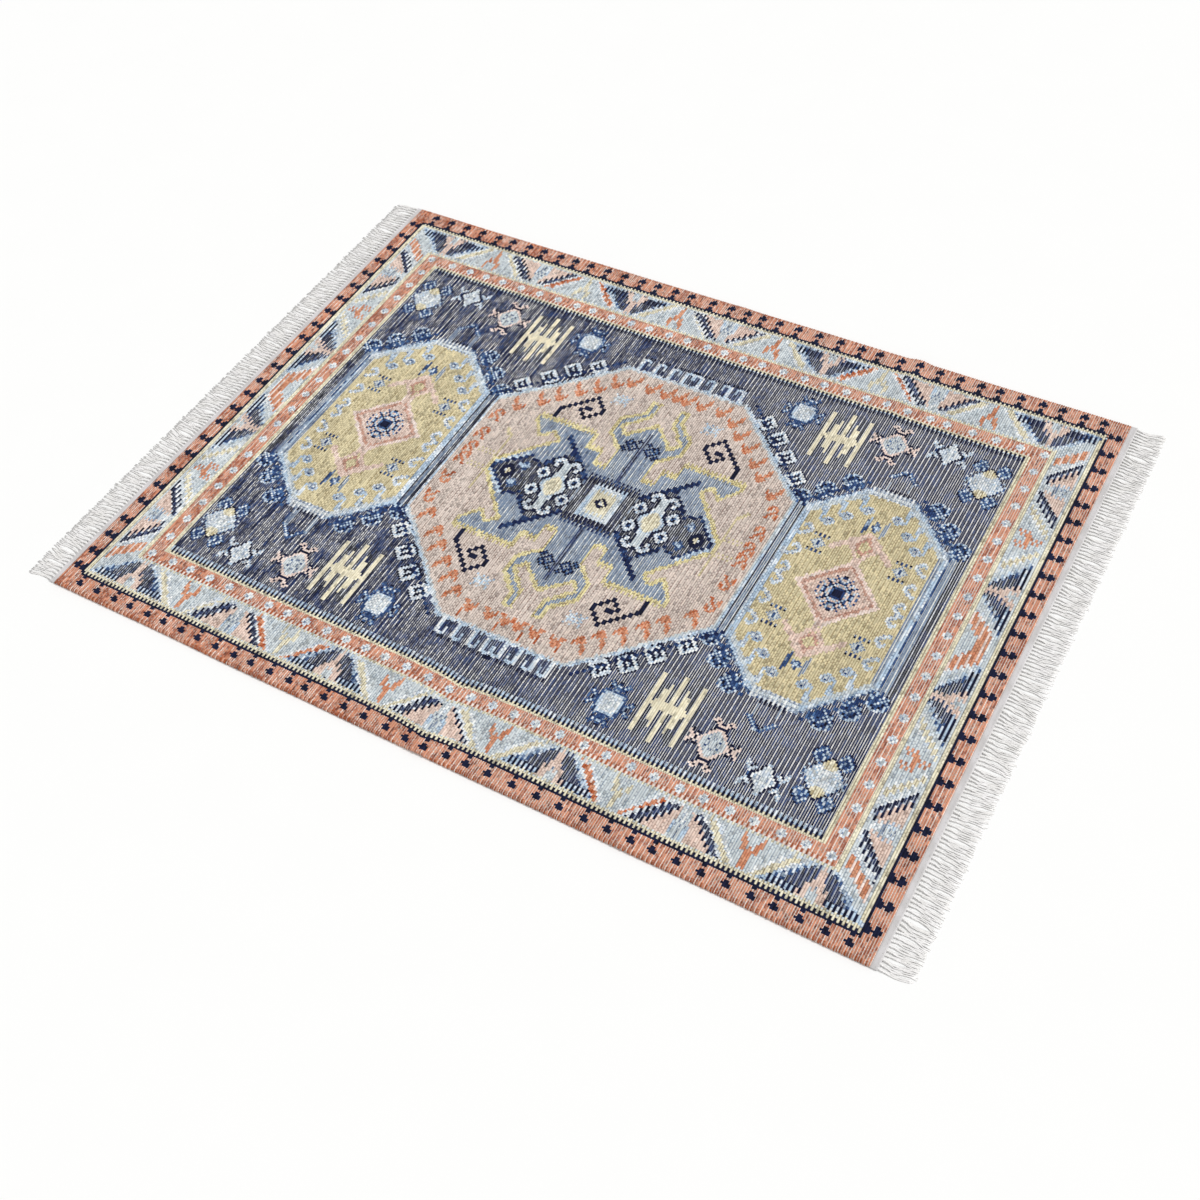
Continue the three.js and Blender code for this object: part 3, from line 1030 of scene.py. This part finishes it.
class Cloth:
    """The ribbed cloth as one closed mesh, in millimetres, with the number of a yarn for each face."""

    def __init__(self, sizes):
        self.ribs = sizes.ribs // 2 * 2
        self.relief = sizes.rib_height / MM
        pitch = 2 * HALF_LENGTH / self.ribs
        self.crest_x = pitch * (np.arange(self.ribs) + 0.5) - HALF_LENGTH
        self.furrow_x = pitch * np.arange(self.ribs + 1) - HALF_LENGTH
        middles = np.broadcast_to(np.arange(ROWS) + 0.5 - HALF_WIDTH, (self.ribs, ROWS))
        self.cells = weave_chart(self.crest_x, middles, sizes.tooth / MM)
        rows = [stations(column, i in (0, self.ribs - 1)) for i, column in enumerate(self.cells)]
        self.marks = [marks for marks, _ in rows]
        self.yarns = [yarns for _, yarns in rows]
        self.points = []
        self.faces = []
        self.kinds = []
        self.furrows = [self.furrow(j) for j in range(self.ribs + 1)]
        self.crests = [self.crest(i) for i in range(self.ribs)]
        self.upper_faces()
        self.under = self.under_points()
        self.under_faces()
        corners = {row: self.selvedge(row, end, out) for row, end, out in ((0, 0, -1), (ROWS, -1, 1))}
        self.end_faces(corners)

    def point(self, x, y, z):
        """Adds a point and returns its number."""
        self.points.append((x, y, float(z)))
        return len(self.points) - 1

    def face(self, outline, yarn):
        self.faces.append(outline)
        self.kinds.append(yarn)

    def ragged(self, i):
        """How far the end of a rib's crest reaches past the side."""
        return RAGGED * math.sin(i * 2.4) * math.cos(i * 0.7)

    def furrow(self, j):
        """The points along the furrow before rib j, by their rows, which are those of both ribs beside it."""
        x = self.furrow_x[j]
        marks = sorted(set(self.marks[max(j - 1, 0)]) | set(self.marks[min(j, self.ribs - 1)]))
        y = np.array(marks, float) - HALF_WIDTH
        place = y * (half_width(x) - FURROW_INSET) / HALF_WIDTH
        z = lift(x, place) + face_height(x, y) - FURROW_SHARE * self.relief
        return {row: self.point(x, *spot) for row, *spot in zip(marks, place, z)}

    def crest(self, i):
        """The points along the crest of rib i, which stands up more in the yarns of knotted figures."""
        x = self.crest_x[i]
        y = np.array(self.marks[i], float) - HALF_WIDTH
        place = y * (half_width(x) + self.ragged(i)) / HALF_WIDTH
        stand = np.array([STANDING[kind] for kind in self.yarns[i]])
        stand = 0.5 * (np.concatenate([stand[:1], stand]) + np.concatenate([stand, stand[-1:]]))
        z = lift(x, place) + face_height(x, y) + CREST_SHARE * self.relief + stand
        return [self.point(x, *spot) for spot in zip(place, z)]

    def upper_faces(self):
        """The two slopes of each rib, from its crest down to the furrows beside it."""
        for i, crest in enumerate(self.crests):
            marks = self.marks[i]
            for k, yarn in enumerate(self.yarns[i]):
                stretch = (marks[k], marks[k + 1])
                self.face([crest[k], crest[k + 1]] + between(self.furrows[i], *stretch)[::-1], yarn)
                self.face([crest[k + 1], crest[k]] + between(self.furrows[i + 1], *stretch), yarn)

    def under_points(self):
        """The underside's points, by furrow and row. Every second furrow has only its two ends."""
        points = {}
        for j, x in enumerate(self.furrow_x):
            for row in ((0, ROWS) if j % 2 else UNDER_ROWS):
                y = (row - HALF_WIDTH) * (half_width(x) - FURROW_INSET) / HALF_WIDTH
                points[j, row] = self.point(x, y, lift(x, y))
        return points

    def under_faces(self):
        """The flat underside, two ribs wide at a time, in the yarn of the face above."""
        for j in range(0, self.ribs, 2):
            for low, high in zip(UNDER_ROWS, UNDER_ROWS[1:]):
                outline = [self.under[j, low], self.under[j, high]]
                if high == ROWS:
                    outline.append(self.under[j + 1, ROWS])
                outline += [self.under[j + 2, high], self.under[j + 2, low]]
                if low == 0:
                    outline.append(self.under[j + 1, 0])
                self.face(outline, int(self.cells[j, (low + high) // 2]))

    def selvedge(self, row, end, out):
        """The rounded selvedge at the near or the far side. Returns the two points at its corners."""
        folds, tops = [], []
        for i, x in enumerate(self.furrow_x):
            y = out * (half_width(x) - SELVEDGE_INSET)
            folds.append(self.point(x, y, lift(x, y) + SELVEDGE_FURROW))
            if i < self.ribs:
                x = self.crest_x[i]
                y = out * (half_width(x) + SELVEDGE_ROUND + self.ragged(i))
                tops.append(self.point(x, y, lift(x, y) + SELVEDGE_CREST))
        for i, top in enumerate(tops):
            crest = self.crests[i][end]
            left, right = self.furrows[i][row], self.furrows[i + 1][row]
            for outline in ([folds[i], top, crest, left], [top, folds[i + 1], right, crest],
                            [self.under[i, row], self.under[i + 1, row], folds[i + 1], top, folds[i]]):
                self.face(outline[::-out], self.yarns[i][end])
        return folds[0], folds[-1]

    def end_faces(self, corners):
        """The two short ends, behind the heading tapes."""
        for j, side, turn in ((0, 0, -1), (self.ribs, 1, 1)):
            for low, high in zip(UNDER_ROWS, UNDER_ROWS[1:]):
                outline = [self.under[j, low], self.under[j, high]]
                if high == ROWS:
                    outline.append(corners[ROWS][side])
                outline += between(self.furrows[j], low, high)[::-1]
                if low == 0:
                    outline.append(corners[0][side])
                self.face(outline[::turn], NUMBER["peach"])


def tube(route, sides=4):
    """A tube through stations of x, y, z, half width, half height and the way it runs."""
    points = []
    faces = []
    for x, y, z, across, up, tilt in route:
        for s in range(sides):
            angle = 2 * math.pi * s / sides
            side = math.cos(angle) * across
            points.append((x - side * math.sin(tilt), y + side * math.cos(tilt), z + math.sin(angle) * up))
    for k in range(len(route) - 1):
        for s in range(sides):
            a = k * sides + s
            b = k * sides + (s + 1) % sides
            faces.append((a, b, b + sides, a + sides))
    last = (len(route) - 1) * sides
    faces.append(tuple(range(sides - 1, -1, -1)))
    faces.append(tuple(last + s for s in range(sides)))
    return points, faces


def lean(y):
    """How far a strand's tip lies from straight out, so that strands gather and part along the end."""
    return 4.6 * math.sin(y / 52 + 0.6) + 2.4 * math.sin(y / 23 + 1.9) + 3.5 * (y / HALF_WIDTH) ** 5


def own(index, seed):
    """A strand's own small difference, between -1 and 1."""
    return math.sin(index * (2.399 + seed) + 5.1 * seed) * math.cos(index * 0.731 + seed)


def ply_route(index, ply, count, width):
    """Stations along one of a strand's plies, in millimetres from the tape's outer face.

    The plies are twisted together at the root and lie loose beyond it, so each station lies between its
    twisted and its loose place.
    """
    number = PLIES * index + ply
    root_y = -HALF_WIDTH + 2.0 * HALF_WIDTH / count * (index + 0.5)
    reach = STRAND_REACH - STRAND_SHORTER * (0.5 + 0.5 * own(index, 0.37)) + 2.4 * own(number, 0.81)
    parting = 3.4 * own(index // 3, 0.93) + 1.2 * own(index, 0.5)
    turn = 1 if index % 2 else -1
    route = []
    for x in (*PLY_STATIONS, reach):
        t = max(0.0, x) / reach
        loose = min(1.0, max(0.0, (x - TWIST_END) / LOOSENING))
        loose = loose * loose * (3 - 2 * loose)
        centre = root_y + lean(root_y) * t ** 1.3 + parting * math.sin(math.pi * min(1.0, 1.15 * t))
        angle = 0.5 * math.pi * ply + turn * 0.5 * x + index
        twisted = 0.25 * width * math.sin(angle)
        wander = 1.0 * math.sin(x / 6.3 + 1.9 * number) + 0.8 * math.sin(x / 11.0 + 4.3 * number)
        lying = (ply - 1.5) * 0.25 * width + wander * min(1.0, t * 2)
        high = 1.75 + 0.85 * math.exp(-((x - 0.5) / 4.5) ** 2) + 0.14 * width * math.cos(angle)
        low = 0.75 + 0.2 * math.sin(x / 8.0 + 2.7 * number)
        across = width * (0.25 - 0.01 * loose) * (1 + 0.12 * own(number, x))
        up = 0.75 - 0.25 * loose
        if x == reach:
            across, up, low = 0.6 * across, 0.3, 0.45
        y = centre + twisted + (lying - twisted) * loose
        route.append([x, y, high + (low - high) * loose, across, up, 0.0])
    for k, station in enumerate(route):
        before, after = route[max(k - 1, 0)], route[min(k + 1, len(route) - 1)]
        station[5] = math.atan2(after[1] - before[1], after[0] - before[0])
    return route


def mesh_piece(name, points, faces, material, turned=False):
    """A mesh object at the origin from points in millimetres, for the left end turned half round."""
    points = np.array(points, float) * MM
    if turned:
        points[:, :2] *= -1
    mesh = bpy.data.meshes.new(name)
    mesh.from_pydata(points.tolist(), [], faces)
    mesh.materials.append(material)
    piece = bpy.data.objects.new(name, mesh)
    bpy.context.scene.collection.objects.link(piece)
    mesh.shade_smooth()
    return piece


def paint_yarns(mesh, kinds, colours):
    """Gives each face its yarn's colours on the crests, in the furrows and in the flecks, and the strength of
    the painted shade at its stitches' ends. Some yarns' furrow colour is painted shade.
    """
    tables = {"Yarn": [], "Furrow": [], "Fleck": []}
    for name, (furrow, shown, fleck, share, end_shade_strength, _) in FURROWS.items():
        tables["Yarn"].append((*getattr(colours, name), end_shade_strength))
        tables["Furrow"].append((*linear(furrow), shown))
        tables["Fleck"].append((*linear(fleck), share))
    sides = [face.loop_total for face in mesh.polygons]
    for name, table in tables.items():
        paint = mesh.color_attributes.new(name, "FLOAT_COLOR", "CORNER")
        corners = np.array(table, np.float32)[np.repeat(kinds, sides)]
        paint.data.foreach_set("color", corners.ravel())


def lay_map(mesh):
    """The cloth's own map: its face over most of the square, its underside in the strip above."""
    layer = mesh.uv_layers.new(name="OFBake")
    corners = np.empty(len(mesh.loops), np.int32)
    mesh.loops.foreach_get("vertex_index", corners)
    points = np.array([v.co for v in mesh.vertices])
    up = np.array([face.normal.z for face in mesh.polygons])
    face_up = np.repeat(up > -0.3, [face.loop_total for face in mesh.polygons])
    x = (points[corners, 0] + MAP_LENGTH) / (2 * MAP_LENGTH)
    y = (points[corners, 1] + MAP_WIDTH) / (2 * MAP_WIDTH)
    v = np.where(face_up, 0.003 + 0.75 * y, 0.765 + 0.23 * y)
    layer.data.foreach_set("uv", np.column_stack((x, v)).astype(np.float32).ravel())


class Nodes:
    """Builds a material's node tree, one short call for each node."""

    def __init__(self, name):
        self.material = bpy.data.materials.new(name)
        self.material.use_nodes = True
        self.tree = self.material.node_tree
        self.tree.nodes.clear()
        self.column = 0

    def add(self, kind, sockets=None, **settings):
        """A new node, with its settings and what feeds its sockets."""
        node = self.tree.nodes.new(kind)
        node.location = (self.column * 190, 0)
        self.column += 1
        for key, value in settings.items():
            setattr(node, key, value)
        for key, value in (sockets or {}).items():
            self.feed(node.inputs[key], value)
        return node

    def feed(self, socket, value):
        """Links the socket to an output or sets its value."""
        if isinstance(value, bpy.types.NodeSocket):
            self.tree.links.new(value, socket)
        else:
            socket.default_value = value

    def place(self):
        """The place on the piece."""
        return self.add("ShaderNodeTexCoord").outputs["Object"]

    def axes(self, place):
        """The x and y of a place."""
        x, y, _ = self.add("ShaderNodeSeparateXYZ", {0: place}).outputs
        return x, y

    def math(self, operation, a, b=0.0, clamp=False):
        return self.add("ShaderNodeMath", {0: a, 1: b}, operation=operation, use_clamp=clamp).outputs[0]

    def plus(self, a, b):
        return self.math("ADD", a, b)

    def less(self, a, b):
        return self.math("SUBTRACT", a, b)

    def times(self, a, b):
        return self.math("MULTIPLY", a, b)

    def over(self, a, b):
        return self.math("DIVIDE", a, b)

    def mix(self, factor, a, b, blend="MIX"):
        node = self.add("ShaderNodeMix", data_type="RGBA", blend_type=blend, clamp_result=True)
        self.feed(node.inputs[0], factor)
        self.feed(node.inputs[6], a)
        self.feed(node.inputs[7], b)
        return node.outputs[2]

    def dim(self, tone, amount):
        """The tone made darker or lighter by the amount."""
        grey = self.add("ShaderNodeCombineColor", {0: amount, 1: amount, 2: amount}).outputs[0]
        return self.mix(1.0, tone, grey, "MULTIPLY")

    def ramp(self, value, low, high, to_low=0.0, to_high=1.0):
        """A soft step from one value to another."""
        node = self.add("ShaderNodeMapRange", {0: value, 1: low, 2: high, 3: to_low, 4: to_high},
                        interpolation_type="SMOOTHSTEP", clamp=True)
        return node.outputs[0]

    def noise(self, vector, scale, detail=2.0, stretch=(1, 1, 1)):
        """Soft noise, stretched along some axes."""
        mapping = self.add("ShaderNodeMapping", {0: vector, 3: stretch})
        sockets = {"Vector": mapping.outputs[0], "Scale": scale, "Detail": detail}
        return self.add("ShaderNodeTexNoise", sockets).outputs[0]

    def lines(self, x, y, z, detail):
        """Soft noise at a point given by its coordinates."""
        point = self.add("ShaderNodeCombineXYZ", {0: x, 1: y, 2: z}).outputs[0]
        return self.add("ShaderNodeTexNoise", {"Vector": point, "Scale": 1.0, "Detail": detail}).outputs[0]

    def dice(self, x, y, z):
        """A number and a colour of its own for each cell, as two outputs."""
        cell = self.add("ShaderNodeCombineXYZ", {0: x, 1: y, 2: z}).outputs[0]
        return self.add("ShaderNodeTexWhiteNoise", {"Vector": cell}, noise_dimensions="3D").outputs

    def bump(self, strength, distance, height, **more):
        """The normal of a surface with this relief."""
        sockets = {"Strength": strength, "Distance": distance, "Height": height, **more}
        return self.add("ShaderNodeBump", sockets).outputs[0]

    def finish(self, **sockets):
        """The material with its shader, whose sockets are named with underscores for spaces."""
        shader = self.add("ShaderNodeBsdfPrincipled", {k.replace("_", " "): v for k, v in sockets.items()})
        output = self.add("ShaderNodeOutputMaterial")
        self.tree.links.new(shader.outputs[0], output.inputs[0])
        return self.material


def furrow_cover(n, x, y, pitch, rib, blot, patches):
    """How much of the furrow colour shows between the ribs: thin, broken, slanting threads. Where a yarn's
    furrow colour is a darker tone of its own, this is painted shade in the furrows.

    Some furrows are fainter. At the right the cloth is more worn, so its threads are finer and unbroken.
    """
    pair = n.over(n.math("PINGPONG", x, pitch), pitch)
    line = n.math("FLOOR", n.plus(n.over(x, pitch), 0.5))
    streak = n.lines(n.times(line, 7.31), n.times(y, 13.0), 0.0, 2.0)
    broken = n.lines(n.times(line, 3.37), n.times(y, 95.0), 4.0, 1.0)
    half_row = n.math("FLOOR", n.plus(n.over(y, 0.5 * STITCH), n.times(line, 0.5)))
    spot = n.dice(line, half_row, 9.0)[0]
    slant = n.times(n.plus(y, n.times(x, 0.7)), 2 * math.pi / (0.5 * STITCH))
    twill = n.ramp(n.math("SINE", slant), -1.0, 0.7, 0.5, 1.0)
    worn = n.ramp(x, -0.5, 0.45, 0.05, 0.8)
    width = n.less(n.ramp(patches, 0.35, 0.65, 0.54, 0.74), n.times(worn, 0.14))
    depth = n.math("SUBTRACT", 1.0, n.over(rib, width), clamp=True)
    faint = n.times(n.ramp(patches, 0.42, 0.58, 0.3, 0.95), pair)
    shown = n.times(n.less(1.0, faint), n.ramp(depth, 0.0, 0.2))
    shown = n.times(shown, n.math("MAXIMUM", n.ramp(streak, 0.36, 0.55, 0.08, 1.0), worn))
    grain = n.times(n.ramp(broken, 0.32, 0.52, 0.5, 1.0), n.ramp(spot, 0.15, 0.5, 0.55, 1.35))
    grain = n.math("MAXIMUM", n.times(grain, twill), worn)
    hidden = n.times(blot, n.less(0.7, n.times(worn, 0.8)))
    return n.times(shown, n.times(grain, n.less(1.0, hidden)))


def woven_material(pitch):
    """Wool ribs: the yarn's colour on the crests, its furrow colour between them, which for many yarns is
    painted shade, painted shade at some stitches' ends, and the stitches' grain.
    """
    n = Nodes("ribbed wool weave")
    place = n.place()
    x, y = n.axes(place)
    yarn, furrow, fleck = (n.add("ShaderNodeAttribute", attribute_name=name).outputs
                           for name in ("Yarn", "Furrow", "Fleck"))
    blot = n.ramp(n.noise(place, 34.0, 2.0, (1, 0.6, 1)), 0.5, 0.62)
    patches = n.noise(place, 9.0, 3.0, (1.5, 0.8, 1))

    # The stitches lie in columns, one for each rib, and every second column is half a stitch further on
    rib = n.over(n.math("PINGPONG", x, pitch / 2), pitch / 2)
    column = n.math("FLOOR", n.over(x, pitch))
    shift = n.times(n.math("FRACT", n.times(column, 0.5)), STITCH)
    row = n.over(n.plus(y, shift), STITCH)
    along = n.math("FRACT", row)
    chance, stitch_colour = n.dice(column, n.math("FLOOR", row), 0.0)
    channels = n.add("ShaderNodeSeparateColor", {0: stitch_colour}).outputs

    # Flecked stitches, stitches of uneven tone, and painted shade at some stitches' ends, where the stitches
    # dip, mixed with the furrow colour
    likely = n.plus(chance, n.times(n.less(blot, 0.4), 0.4))
    flecked = n.times(n.ramp(likely, 0.42, 0.8), fleck["Alpha"])
    tone = n.mix(flecked, yarn["Color"], fleck["Color"])
    darker = n.times(n.ramp(channels[1], 0.07, 0.1, 0.33, 0.0), n.ramp(along, 0.55, 0.75, 1.0, 0.3))
    tone = n.dim(tone, n.times(n.ramp(channels[1], 0.0, 1.0, 0.86, 1.12), n.less(1.0, darker)))
    end = n.times(n.math("ABSOLUTE", n.less(along, 0.5)), 2.0)
    painted_end_shade = n.times(n.times(n.ramp(end, 0.35, 0.9), yarn["Alpha"]), n.ramp(channels[2], 0.5, 0.72))
    end_shade_tone = n.mix(1.0, tone, (0.22, 0.22, 0.25, 1), "MULTIPLY")
    tone = n.mix(painted_end_shade, tone, n.mix(0.4, end_shade_tone, furrow["Color"]))

    # The furrow colour between the ribs: the threads' colour for some yarns, painted shade in the furrows for
    # the others
    cover = furrow_cover(n, x, y, pitch, rib, blot, patches)
    tone = n.mix(n.times(cover, furrow["Alpha"]), tone, furrow["Color"])
    tone = n.dim(tone, n.ramp(patches, 0.25, 0.75, 0.93, 1.07))

    # Round ribs with a knuckle for each stitch, on cloth that puckers a little
    round_rib = n.math("SQRT", n.less(1.0, n.math("POWER", n.less(1.0, rib), 2.0)))
    knuckle = n.times(n.math("SINE", n.times(along, math.pi)), 0.28)
    fibre = n.times(n.noise(place, 900.0), 0.25)
    height = n.plus(n.plus(round_rib, knuckle), fibre)
    slack = n.bump(1.0, 0.003, n.noise(place, 26.0, 1.0, (0.8, 1.2, 1)))
    relief = n.bump(1.0, 0.0009, height, Normal=slack)
    return n.finish(Base_Color=tone, Roughness=n.ramp(fibre, 0.05, 0.2, 0.84, 0.95), Normal=relief,
                    Sheen_Weight=0.03, Sheen_Roughness=0.5, Specular_IOR_Level=0.15)


def shade(base, amount, cool=1.0):
    """A darker or cooler shade of a colour."""
    return (base[0] * amount, base[1] * amount, base[2] * amount * cool, 1)


def strand_material(base):
    """Soft cotton yarn with its fibres along the strands, with painted shade in soft noise patches among the
    strands and where the fibres dip.
    """
    n = Nodes("fringe cotton")
    place = n.place()
    patches = n.noise(place, 40.0, 3.0)
    fibre = n.noise(place, 1100.0, 2.0, (0.14, 1.0, 1.0))
    # Painted shade among the strands, in soft patches placed by noise
    tone = n.mix(n.ramp(patches, 0.35, 0.65, 0.0, 0.8), (*base, 1), shade(base, 0.93, 0.98))
    # Fibre lines along the strands, with painted shade where the fibre relief dips
    tone = n.mix(n.ramp(fibre, 0.3, 0.55, 0.4, 0.0), tone, shade(base, 0.82))
    return n.finish(Base_Color=tone, Roughness=n.ramp(fibre, 0.2, 0.8, 0.85, 0.97),
                    Normal=n.bump(0.7, 0.0004, fibre), Sheen_Weight=0.1, Specular_IOR_Level=0.2)


def tape_material(base):
    """Close cotton tape with a fine herringbone weave, with painted shade in the weave's grooves and where
    the fibres dip.
    """
    n = Nodes("heading tape")
    place = n.place()
    x, y = n.axes(place)
    zigzag = n.math("PINGPONG", x, 0.0028)
    weave = n.math("SINE", n.times(n.plus(y, zigzag), 2 * math.pi / 0.0021))
    fibre = n.noise(place, 900.0)
    patches = n.noise(place, 55.0, 3.0, (1.0, 0.5, 1.0))
    tone = n.mix(n.ramp(patches, 0.35, 0.65), (*base, 1), shade(base, 0.8, 0.98))
    # Painted shade in the grooves of the weave, where its relief is low
    tone = n.mix(n.ramp(weave, -1.0, 0.4, 0.5, 0.0), tone, shade(base, 0.7))
    # Painted shade where the fibre relief dips
    tone = n.mix(n.ramp(fibre, 0.35, 0.6, 0.3, 0.0), tone, shade(base, 0.7))
    height = n.plus(n.times(weave, 0.5), fibre)
    return n.finish(Base_Color=tone, Roughness=n.ramp(fibre, 0.2, 0.8, 0.8, 0.95),
                    Normal=n.bump(0.7, 0.0003, height), Sheen_Weight=0.1, Specular_IOR_Level=0.2)


def floor_material(base):
    """A pale matte floor with faint patches."""
    n = Nodes("pale matte floor")
    patches = n.noise(n.place(), 8.0, 3.0)
    tone = n.mix(n.ramp(patches, 0.3, 0.7, 0.0, 0.04), (*base, 1), shade(base, 0.9))
    return n.finish(Base_Color=tone, Roughness=0.9, Specular_IOR_Level=0.2)


def clear_selection():
    bpy.ops.object.select_all(action="DESELECT")


class RUG_OT_woven_body(bpy.types.Operator):
    """Weave the body of the rug, rib by rib, from the weaver's chart"""
    bl_idname = "rug.woven_body"
    bl_label = "Woven body"

    def execute(self, context):
        cloth = Cloth(context.scene.rug_sizes)
        material = woven_material(2 * HALF_LENGTH / cloth.ribs * MM)
        piece = mesh_piece("woven_body", cloth.points, cloth.faces, material)
        paint_yarns(piece.data, cloth.kinds, context.scene.rug_colours)
        lay_map(piece.data)
        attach(piece, "root")
        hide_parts("rug_body")
        return {"FINISHED"}


class RUG_OT_headings(bpy.types.Operator):
    """Sew the heading tapes to the two short ends"""
    bl_idname = "rug.headings"
    bl_label = "Heading tapes"

    def execute(self, context):
        material = tape_material(tuple(context.scene.rug_colours.tape))
        for side, name in ((1, "heading_right"), (-1, "heading_left")):
            clear_selection()
            middle = side * (HALF_LENGTH + 0.5 * (HEADING_WIDTH + SEAM_GAP)) * MM
            bpy.ops.mesh.primitive_grid_add(x_subdivisions=4, y_subdivisions=TAPE_STEPS, size=1,
                                            location=(middle, 0, HEADING_THICKNESS * MM))
            tape = context.object
            tape.name = tape.data.name = name
            tape.scale = ((HEADING_WIDTH + TAPE_OVERLAP) * MM, 2 * HALF_WIDTH * MM, 1)
            bpy.ops.object.transform_apply(location=True, rotation=True, scale=True)
            for v in tape.data.vertices:
                v.co.z += TAPE_RIPPLE * MM * math.sin(v.co.y * 210 + 1.3 * side) * math.cos(v.co.y * 47)
            solid = tape.modifiers.new("Thickness", "SOLIDIFY")
            solid.thickness = (HEADING_THICKNESS - TAPE_CLEARANCE) * MM
            solid.offset = -1
            bpy.ops.object.modifier_apply(modifier=solid.name)
            soft = tape.modifiers.new("Soft edges", "BEVEL")
            soft.width = TAPE_ROUND * MM
            soft.segments = 2
            soft.limit_method = "ANGLE"
            bpy.ops.object.modifier_apply(modifier=soft.name)
            tape.data.materials.append(material)
            tape.data.shade_smooth()
            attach(tape, "root")
            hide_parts("fringe_right" if side == 1 else "fringe_left")
        return {"FINISHED"}


class RUG_OT_strands(bpy.types.Operator):
    """Hang the twisted fringe strands from the heading tapes"""
    bl_idname = "rug.strands"
    bl_label = "Fringe strands"

    def execute(self, context):
        sizes = context.scene.rug_sizes
        material = strand_material(tuple(context.scene.rug_colours.cotton))
        points, faces = [], []
        for index in range(sizes.strands):
            for ply in range(PLIES):
                some, more = tube(ply_route(index, ply, sizes.strands, sizes.strand_width / MM))
                start = len(points)
                points.extend((x + HALF_LENGTH + SEAM_GAP + HEADING_WIDTH, y, z) for x, y, z in some)
                faces.extend(tuple(start + v for v in face) for face in more)
        for name, turned in (("strands_right", False), ("strands_left", True)):
            piece = mesh_piece(name, points, faces, material, turned)
            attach(piece, "root")
            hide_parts("fringe_left" if turned else "fringe_right")
        return {"FINISHED"}


class RUG_OT_stage(bpy.types.Operator):
    """Lay the floor, hang the lights and set the camera"""
    bl_idname = "rug.stage"
    bl_label = "Stage"

    def execute(self, context):
        scene = context.scene
        clear_selection()
        bpy.ops.mesh.primitive_plane_add(size=FLOOR_SIZE, location=(0, 0, -FLOOR_DEPTH))
        floor = context.object
        floor.name = floor.data.name = "floor"
        bpy.ops.object.transform_apply(location=True, rotation=True, scale=True)
        floor.data.materials.append(floor_material(tuple(scene.rug_colours.floor)))

        light = bpy.data.lights.new("soft sun", "SUN")
        light.angle = math.radians(SUN_SPREAD)
        light.energy = SUN_STRENGTH
        sun = bpy.data.objects.new("soft sun", light)
        towards = Vector(SUN_PLACE).to_track_quat("Z", "Y").to_matrix().to_4x4()
        sun.matrix_world = Matrix.Translation(SUN_PLACE) @ towards
        scene.collection.objects.link(sun)

        if scene.world is None:
            scene.world = bpy.data.worlds.new("studio")
        scene.world.use_nodes = True
        sky = scene.world.node_tree.nodes["Background"]
        sky.inputs[0].default_value = (1, 1, 1, 1)
        sky.inputs[1].default_value = SKY_STRENGTH
        scene.view_settings.view_transform = "Standard"

        lens = bpy.data.cameras.new("camera")
        lens.lens = scene.rug_sizes.focal_length
        lens.sensor_width = 36
        lens.clip_start = 0.05
        camera = bpy.data.objects.new("camera", lens)
        axes = (CAMERA_RIGHT, CAMERA_UP, CAMERA_BACK, CAMERA_PLACE)
        camera.matrix_world = Matrix([*zip(*axes), (0, 0, 0, 1)])
        scene.collection.objects.link(camera)
        scene.camera = camera
        return {"FINISHED"}


class RUG_PT_panel(bpy.types.Panel):
    """The rug's sizes, colours and making steps"""
    bl_idname = "RUG_PT_panel"
    bl_label = "Kilim rug"
    bl_space_type = "VIEW_3D"
    bl_region_type = "UI"
    bl_category = "Kilim rug"

    def draw(self, context):
        for group in (context.scene.rug_sizes, context.scene.rug_colours):
            for key in group.__annotations__:
                self.layout.prop(group, key)
        for step in STEPS:
            self.layout.operator(step.bl_idname)


STEPS = (RUG_OT_woven_body, RUG_OT_headings, RUG_OT_strands, RUG_OT_stage)
CLASSES = (RugSizes, YarnColours, *STEPS, RUG_PT_panel)


def register():
    for kind in CLASSES:
        bpy.utils.register_class(kind)
    bpy.types.Scene.rug_sizes = PointerProperty(type=RugSizes)
    bpy.types.Scene.rug_colours = PointerProperty(type=YarnColours)


def unregister():
    del bpy.types.Scene.rug_colours
    del bpy.types.Scene.rug_sizes
    for kind in reversed(CLASSES):
        bpy.utils.unregister_class(kind)


def main():
    register()
    bpy.ops.rug.woven_body()
    bpy.ops.rug.headings()
    bpy.ops.rug.strands()
    bpy.ops.rug.stage()
    bpy.context.view_layer.update()


if __name__ == "__main__":
    main()
